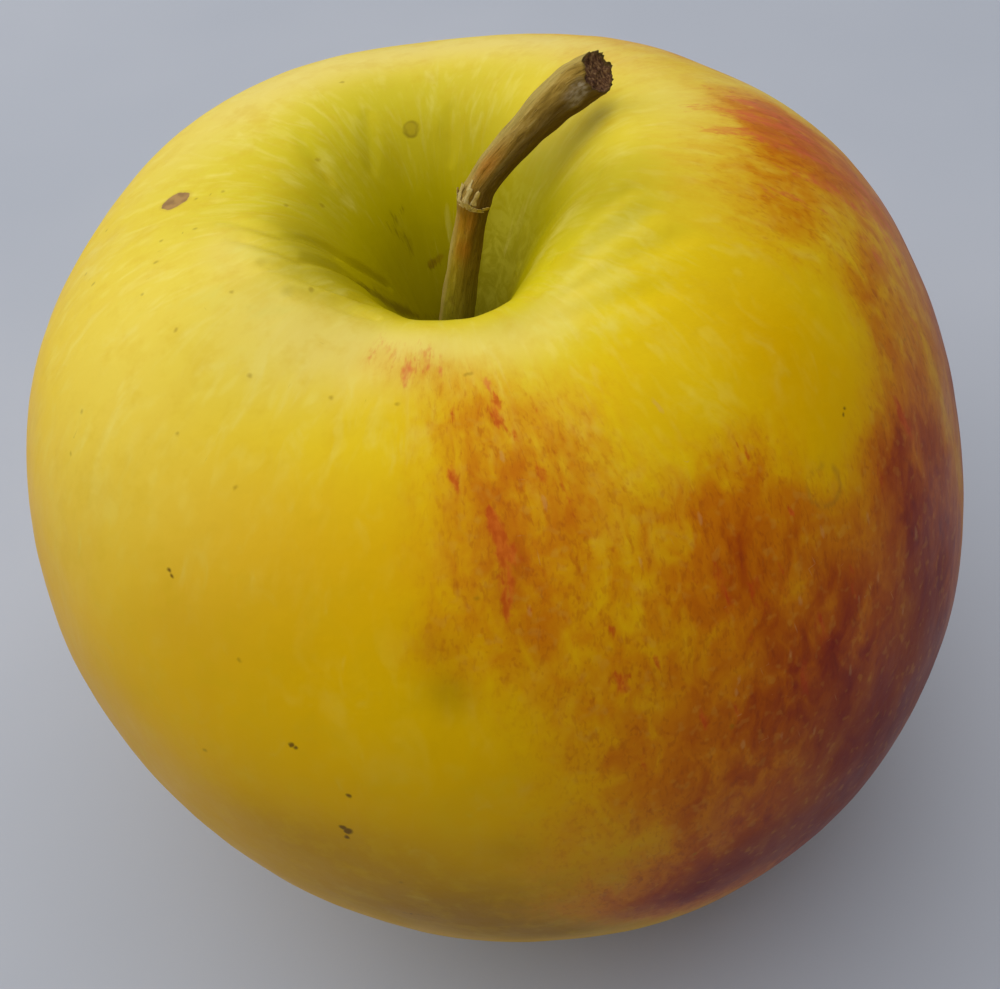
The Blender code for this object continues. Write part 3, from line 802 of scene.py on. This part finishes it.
# Stalk: its middle line from inside the pit to the broken end, with the radius at each place
stalk = {
    "route": (
        ((-4.25, -0.10, 51.60), 1.40), ((-4.05, -0.05, 54.00), 1.42), ((-3.50, 0.20, 57.30), 1.38),
        ((-2.40, 0.80, 62.45), 1.25), ((-1.35, 1.30, 66.45), 1.14), ((-1.00, 1.50, 67.75), 1.30),
        ((-0.35, 1.75, 68.85), 1.14), ((1.20, 2.20, 70.55), 1.20), ((3.05, 2.75, 72.20), 1.32),
        ((5.10, 3.45, 73.75), 1.50), ((7.10, 4.20, 74.75), 1.70), ((8.75, 4.85, 75.15), 1.56),
    ),
    "sides": 80,
    "step": 0.11,
    "ridge": 0.10,
    "fineRidge": 0.055,
    "wrinkle": 0.05,
    "raggedEnd": 0.42,
    "raggedCore": 0.34,
    "flakeThickness": 0.07,
    "ior": 1.32,
    "bump": (0.35, 0.9),
    "cut": 0.95,                        # how far the broken end is slanted, and the way it faces
    "cutFacing": (-0.05, -0.84, 0.54),
    # The way the painted light comes from: the bark is painted paler facing it and darker facing away
    "litSide": (-0.75, 0.45, 0.48),
    "core": ((0.90, -0.02), (0.76, -0.24), (0.60, -0.42), (0.44, -0.36), (0.28, -0.50), (0.10, -0.40)),
    # patches: way along, half length, facing, half spread as a cosine
    "rust": ((15.2, 1.5, (-0.50, -0.70, 0.45), 0.42), (19.6, 1.6, (-0.55, -0.60, 0.60), 0.74),
             (13.0, 1.2, (-0.30, -0.85, 0.35), 0.72)),
    "lichen": ((27.0, 0.55, (0.42, -0.85, 0.33), 0.80), (27.7, 0.32, (0.20, -0.90, 0.40), 0.85)),
    # flakes of torn bark: way along, facing, length, width, lift
    "flakes": (
        (16.50, (-0.55, -0.80, 0.25), 0.42, 1.30, 0.24), (16.42, (0.12, -0.97, 0.20), 0.36, 1.00, 0.20),
        (17.05, (-0.62, -0.75, 0.30), 1.20, 0.46, 0.20), (17.20, (-0.15, -0.95, 0.30), 1.10, 0.40, 0.22),
        (16.95, (-0.93, -0.25, 0.30), 1.10, 0.55, 0.30), (16.62, (-0.98, 0.15, 0.10), 0.60, 0.90, 0.26),
        (17.70, (-0.75, -0.55, 0.40), 0.80, 0.30, 0.14), (16.60, (0.62, -0.75, 0.10), 0.40, 0.70, 0.14),
        (16.50, (0.30, 0.90, 0.10), 0.50, 1.10, 0.22), (17.10, (0.70, 0.60, 0.10), 0.90, 0.50, 0.20),
    ),
}


def stalkLine():  # places, radii and ways along a smooth line through the route
    places = [Vector(place) - boxMiddle - Vector((0, 0, apple["restDepth"])) for place, _ in stalk["route"]]
    radii = [radius for _, radius in stalk["route"]]
    line = []
    for i in range(len(places) - 1):
        before, after = places[max(i - 1, 0)], places[min(i + 2, len(places) - 1)]
        start, end = places[i], places[i + 1]
        run = (end - start).length
        handles = (start + (end - before).normalized() * run / 3,
                   end - (after - start).normalized() * run / 3)
        steps = max(2, round(run / stalk["step"]))
        for j, place in enumerate(interpolate_bezier(start, *handles, end, steps + 1)[:-1]):
            line.append((place, radii[i] + (radii[i + 1] - radii[i]) * smoothStep(j / steps)))
    return line + [(places[-1], radii[-1])]


def stalkFrames():  # for each step: place, radius, way along, axis and two spokes square to it
    line, frames, way = stalkLine(), [], 0.0
    aside = Vector((1.0, 0.0, 0.0))
    for number, (place, radius) in enumerate(line):
        if number:
            way += (place - line[number - 1][0]).length
        axis = (line[min(number + 1, len(line) - 1)][0] - line[max(number - 1, 0)][0]).normalized()
        aside = (aside - axis * aside.dot(axis)).normalized()
        frames.append((place, radius, way, axis, aside, axis.cross(aside)))
    return frames


def barkRelief(angle, way, length):  # wide ridges, fine ones, and wrinkles that deepen towards the end
    x, y = math.cos(angle) * 1.5, math.sin(angle) * 1.5
    relief = stalk["ridge"] * noise.noise(Vector((x * 1.6, y * 1.6, way * 0.30)))
    relief += stalk["fineRidge"] * noise.noise(Vector((x * 4.6, y * 4.6, way * 0.75)))
    deep = 0.35 + smoothStep((way - length + 9.0) / 8.0)
    fold = abs(noise.noise(Vector((x * 3.0, y * 3.0, way * 0.26 + 7.0))))
    return relief - stalk["wrinkle"] * deep * max(0.0, 1.0 - 5.0 * fold)


def widenRing(bm, ringEdges, rounds):  # a new ring of points from the last one, at the same angles
    made = bmesh.ops.extrude_edge_only(bm, edges=ringEdges)
    fresh = {}
    for vert in (g for g in made["geom"] if isinstance(g, bmesh.types.BMVert)):
        old = next(e.other_vert(vert) for e in vert.link_edges if e.other_vert(vert) in rounds)
        fresh[vert] = rounds[old]
    edges = [g for g in made["geom"] if isinstance(g, bmesh.types.BMEdge)
             and g.verts[0] in fresh and g.verts[1] in fresh]
    return edges, fresh


def patchShare(patches, way, spoke):
    share = 0.0
    for middle, half, facing, spread in patches:
        turned = (spoke.dot(Vector(facing).normalized()) - spread) / (1.0 - spread)
        share = max(share, math.exp(-((way - middle) / half) ** 2) * smoothStep(turned))
    return share


def addFlake(bm, layers, frames, flake):
    middle, facing, length, width, lift = flake
    nearest = min(frames, key=lambda f: abs(f[2] - middle))
    facing = Vector(facing)
    start = math.atan2(facing.dot(nearest[5]), facing.dot(nearest[4]))
    leaf = bmesh.ops.create_grid(bm, x_segments=5, y_segments=7, size=0.5)["verts"]
    for vert in leaf:
        across, onward = vert.co.x * 2, vert.co.y + 0.5
        way = middle + (onward - 0.5) * length
        place, radius, _, axis, aside, front = min(frames, key=lambda f: abs(f[2] - way))
        half = width / 2 * (1.0 - 0.55 * onward ** 2) * (1.0 + 0.25 * math.sin(9 * onward + middle * 7))
        angle = start + across * half / radius
        spoke = math.cos(angle) * aside + math.sin(angle) * front
        rise = 0.02 + lift * onward ** 2 * (1.0 - 0.3 * across ** 2)
        vert.co = (place + axis * (way - nearest[2] - (place - nearest[0]).dot(axis))
                   + spoke * (radius + barkRelief(angle, way, frames[-1][2]) + rise)) * mm
        vert[layers["flake"]] = 1.0
        vert[layers["grain"]] = Vector((across * half + middle, lift, way * 1.7))
    faces = list({face for vert in leaf for face in vert.link_faces})
    bmesh.ops.solidify(bm, geom=faces, thickness=stalk["flakeThickness"] * mm)


def makeStalk(material):
    frames = stalkFrames()
    bm = bmesh.new()
    layers = {name: bm.verts.layers.float.new(name) for name in
              ("along", "side", "core", "rust", "lichen", "flake")}
    layers["grain"] = bm.verts.layers.float_vector.new("grain")
    bmesh.ops.create_circle(bm, cap_ends=False, segments=stalk["sides"], radius=1.0)
    rounds = {vert: math.atan2(vert.co.y, vert.co.x) for vert in bm.verts}
    ringEdges = list(bm.edges)
    length = frames[-1][2]
    litSide, cutFacing = Vector(stalk["litSide"]).normalized(), Vector(stalk["cutFacing"]).normalized()
    for number, (place, radius, way, axis, aside, front) in enumerate(frames):
        if number:
            ringEdges, rounds = widenRing(bm, ringEdges, rounds)
        late = smoothStep((way - length + 5.0) / 5.0)
        for vert, angle in rounds.items():
            spoke = math.cos(angle) * aside + math.sin(angle) * front
            slant = -stalk["cut"] * radius * spoke.dot(cutFacing) * late
            out = radius + barkRelief(angle, way, length)
            vert.co = (place + spoke * out + axis * slant) * mm
            # how far each point faces the painted light
            vert[layers["along"]], vert[layers["side"]] = way, spoke.dot(litSide)
            vert[layers["grain"]] = Vector((math.cos(angle) * 1.4, math.sin(angle) * 1.4, way + slant))
            for name in ("rust", "lichen"):
                vert[layers[name]] = patchShare(stalk[name], way + slant, spoke)
    end, radius, way, axis, aside, front = frames[-1]
    for vert, angle in rounds.items():
        x, y = math.cos(angle), math.sin(angle)
        jag = noise.noise(Vector((x * 2.4, y * 2.4, 9.0))) + 0.6 * noise.noise(Vector((x * 7, y * 7, 4.0)))
        vert.co += axis * (stalk["raggedEnd"] * jag * mm)
        vert[layers["core"]] = 0.5
    for shrink, sink in stalk["core"]:
        ringEdges, rounds = widenRing(bm, ringEdges, rounds)
        for vert, angle in rounds.items():
            spoke = math.cos(angle) * aside + math.sin(angle) * front
            slant = -stalk["cut"] * radius * spoke.dot(cutFacing) * shrink
            x, y = math.cos(angle) * shrink, math.sin(angle) * shrink
            jag = noise.noise(Vector((x * 4, y * 4, 3.0))) + 0.7 * noise.noise(Vector((x * 9, y * 9, 5.0)))
            vert.co = (end + spoke * shrink * radius + axis * (sink + slant + stalk["raggedCore"] * jag)) * mm
            vert[layers["core"]], vert[layers["along"]] = 0.62 if shrink > 0.8 else 1.0, way
            vert[layers["side"]], vert[layers["lichen"]], vert[layers["rust"]] = 0.0, 0.0, 0.0
            vert[layers["grain"]] = vert.co / mm
    bmesh.ops.holes_fill(bm, edges=[e for e in bm.edges if e.is_boundary], sides=0)
    for flake in stalk["flakes"]:
        addFlake(bm, layers, frames, flake)
    bmesh.ops.recalc_face_normals(bm, faces=bm.faces)
    return appleObject("stalk", bm, material, "stem")


# Noises on the unrolled bark, as on the skin
barkNoises = {
    "fibre": ((2.6, 2.6, 0.42), (0, 0, 0), 5.0, 0.68, 0.25),
    "blotch": ((0.6, 0.6, 0.40), (3, 1, 2), 4.0, 0.6),
    "pits": ((5.0, 5.0, 2.2), (1, 7, 4), 2.0),
}


def stalkMaterial():
    made, tree, shader = newMaterial("stalk bark")
    step, times = partial(between, tree), partial(sums, tree, "MULTIPLY")
    side, along, core, rust, lichen, flake = (attribute(tree, name) for name in (
        "side", "along", "core", "rust", "lichen", "flake"))
    fibre, blotch, pits = grainNoises(tree, attribute(tree, "grain", "Vector"), barkNoises)
    lower = ramp(tree, fibre, (0.26, 146, 120, 10), (0.50, 190, 158, 28), (0.76, 220, 194, 76))
    upper = ramp(tree, fibre, (0.26, 120, 92, 22), (0.50, 172, 138, 52), (0.78, 208, 180, 100))
    torn = ramp(tree, fibre, (0.30, 176, 146, 76), (0.50, 216, 190, 116), (0.72, 240, 222, 156))
    heart = ramp(tree, pits, (0.34, 78, 48, 28), (0.52, 126, 86, 54), (0.72, 176, 138, 92))
    # Painted light and shade on the bark: darker on the side turned away from the light, a pale strip on the
    # lit side
    shadedSide = times(step(side, 0.30, -0.60), step(along, 8.0, 17.0, (0.46, 0.80)))
    litStrip = times(step(side, 0.36, 0.80), step(along, 18.0, 15.0, (0.55, 0.90)))
    colour = laid(
        tree, lower,
        (step(along, 14.5, 18.0), upper),
        (step(along, 14.0, 6.0, (0.0, 0.72)), (160, 158, 34)),
        (shadedSide, (84, 60, 10)),
        (litStrip, (206, 184, 98)),
        (times(rust, step(fibre, 0.3, 0.6, (0.32, 0.72))), (188, 118, 18)),
        (step(blotch, 0.56, 0.72, (0.0, 0.40)), (110, 78, 20)),
        (step(pits, 0.62, 0.74, (0.0, 0.32)), (66, 46, 14)),
        (flake, torn),
        (times(lichen, step(pits, 0.35, 0.6, (0.25, 0.85))), (186, 168, 136)),
        (step(core, 0.3, 0.8), heart))
    plug(tree, colour, shader.inputs["Base Color"])
    plug(tree, step(fibre, 0.3, 0.7, (0.78, 0.62)), shader.inputs["Roughness"])
    shader.inputs["IOR"].default_value = stalk["ior"]
    bumpDepth, strength = stalk["bump"]
    plug(tree, bumpOf(tree, fibre, bumpDepth * mm, strength), shader.inputs["Normal"])
    return made


makeStalk(stalkMaterial())
print("stalk made")


# Calyx: a dried crown of five sepals hanging from the basin
calyx = {
    "neckHeight": 8.1,
    # radius, and how far below the neck
    "cup": ((0.0, 0.0), (1.3, 0.0), (1.7, 1.2), (2.1, 2.4), (1.7, 2.5), (1.2, 1.6), (0.0, 1.3)),
    "rootRadius": 1.6,
    "tipRadius": 4.0,
    "sepalHalf": 1.25,
    "height": 4.1,
    "sides": 30,
    "sepals": 5,
    "firstSepal": 20,
    "thickness": 0.16,
}


def makeCalyx(material):
    bm = bmesh.new()
    neck, root = calyx["neckHeight"], calyx["rootRadius"]
    middle = Vector((apple["baseShift"][0], apple["baseShift"][1], 0.0)) - boxMiddle
    spinRound(bm, [bm.verts.new((radius, 0.0, neck - drop)) for radius, drop in calyx["cup"]], calyx["sides"])
    for number in range(calyx["sepals"]):
        leaf = bmesh.ops.create_grid(bm, x_segments=6, y_segments=12, size=0.5)["verts"]
        curl = 0.8 + 0.5 * random.random()
        for vert in leaf:
            share, across = vert.co.y + 0.5, vert.co.x * 2
            half = calyx["sepalHalf"] * (1 - share ** 1.6) + 0.05
            out = root + share * (calyx["tipRadius"] - root) - 1.2 * curl * max(share - 0.55, 0) ** 1.2
            drop = 1.0 + share * (calyx["height"] - 1.1)
            vert.co = Vector((out + 0.35 * across * across * (1 - share), half * across,
                              neck - drop + 0.18 * math.sin(7 * across + number)))
        faces = list({face for vert in leaf for face in vert.link_faces})
        turn = math.radians(calyx["firstSepal"] + 360 / calyx["sepals"] * number)
        bmesh.ops.rotate(bm, verts=leaf, cent=(0, 0, 0), matrix=Matrix.Rotation(turn, 3, "Z"))
        bmesh.ops.solidify(bm, geom=faces, thickness=calyx["thickness"])
    for vert in bm.verts:
        vert.co = (vert.co + middle) * mm
    bmesh.ops.recalc_face_normals(bm, faces=bm.faces)
    return appleObject("calyx_crown", bm, material, "calyx")


def calyxMaterial():
    made, tree, shader = newMaterial("dried calyx")
    place = addNode(tree, "ShaderNodeTexCoord").outputs["Object"]
    fibre = noiseOf(tree, stretched(tree, place, (1500.0, 1500.0, 420.0)), detail=4.0, roughness=0.65)
    colour = ramp(tree, fibre, (0.3, 46, 30, 18), (0.55, 92, 64, 38), (0.8, 146, 116, 78))
    plug(tree, colour, shader.inputs["Base Color"])
    plug(tree, between(tree, fibre, 0.3, 0.7, (0.9, 0.75)), shader.inputs["Roughness"])
    plug(tree, bumpOf(tree, fibre, 0.0003, 0.8), shader.inputs["Normal"])
    return made


makeCalyx(calyxMaterial())
print("calyx made")


# Floor and light: a shallow pale bowl, one broad softbox overhead and a little to the left
studio = {
    "bowl": ((1.2, 0.0), (3.4, 0.0), (5.2, 0.5), (5.6, 2.4)),   # the curve's radii and heights in metres
    "bowlRows": 20,
    "bowlSides": 64,
    "key": {"place": (-0.60, 0.36, 1.78), "size": 4.5, "power": 89.0, "colour": (1.0, 0.985, 0.95)},
    "aim": (0.0, 0.0, 0.04),
    "world": ((0.80, 0.88, 1.0, 1.0), 0.04),
}


def makeStudio():
    made, tree, shader = newMaterial("pale floor")
    place = addNode(tree, "ShaderNodeTexCoord").outputs["Object"]
    cloud = noiseOf(tree, place, 14.0, detail=3.0)
    plug(tree, ramp(tree, cloud, (0.3, 176, 183, 198), (0.7, 184, 190, 204)), shader.inputs["Base Color"])
    shader.inputs["Roughness"].default_value = 0.6
    bm = bmesh.new()
    section = [Vector()] + bend(*studio["bowl"], studio["bowlRows"])
    spinRound(bm, [bm.verts.new(point) for point in section], studio["bowlSides"])
    bmesh.ops.recalc_face_normals(bm, faces=bm.faces)
    smoothObject("floor", bm, made)

    key = studio["key"]
    lamp = bpy.data.lights.new("softbox", "AREA")
    lamp.shape = "SQUARE"
    lamp.size = key["size"]
    lamp.energy = key["power"]
    lamp.color = key["colour"]
    softbox = bpy.data.objects.new("softbox", lamp)
    softbox.location = key["place"]
    aim = Vector(studio["aim"]) - Vector(key["place"])
    softbox.rotation_euler = aim.to_track_quat("-Z", "Y").to_euler()
    bpy.context.scene.collection.objects.link(softbox)

    world = bpy.data.worlds.new("studio")
    world.use_nodes = True
    sky = world.node_tree.nodes["Background"]
    sky.inputs["Color"].default_value, sky.inputs["Strength"].default_value = studio["world"]
    bpy.context.scene.world = world
    bpy.context.scene.view_settings.view_transform = "Standard"


makeStudio()
bodyMesh.free()
print("studio set")
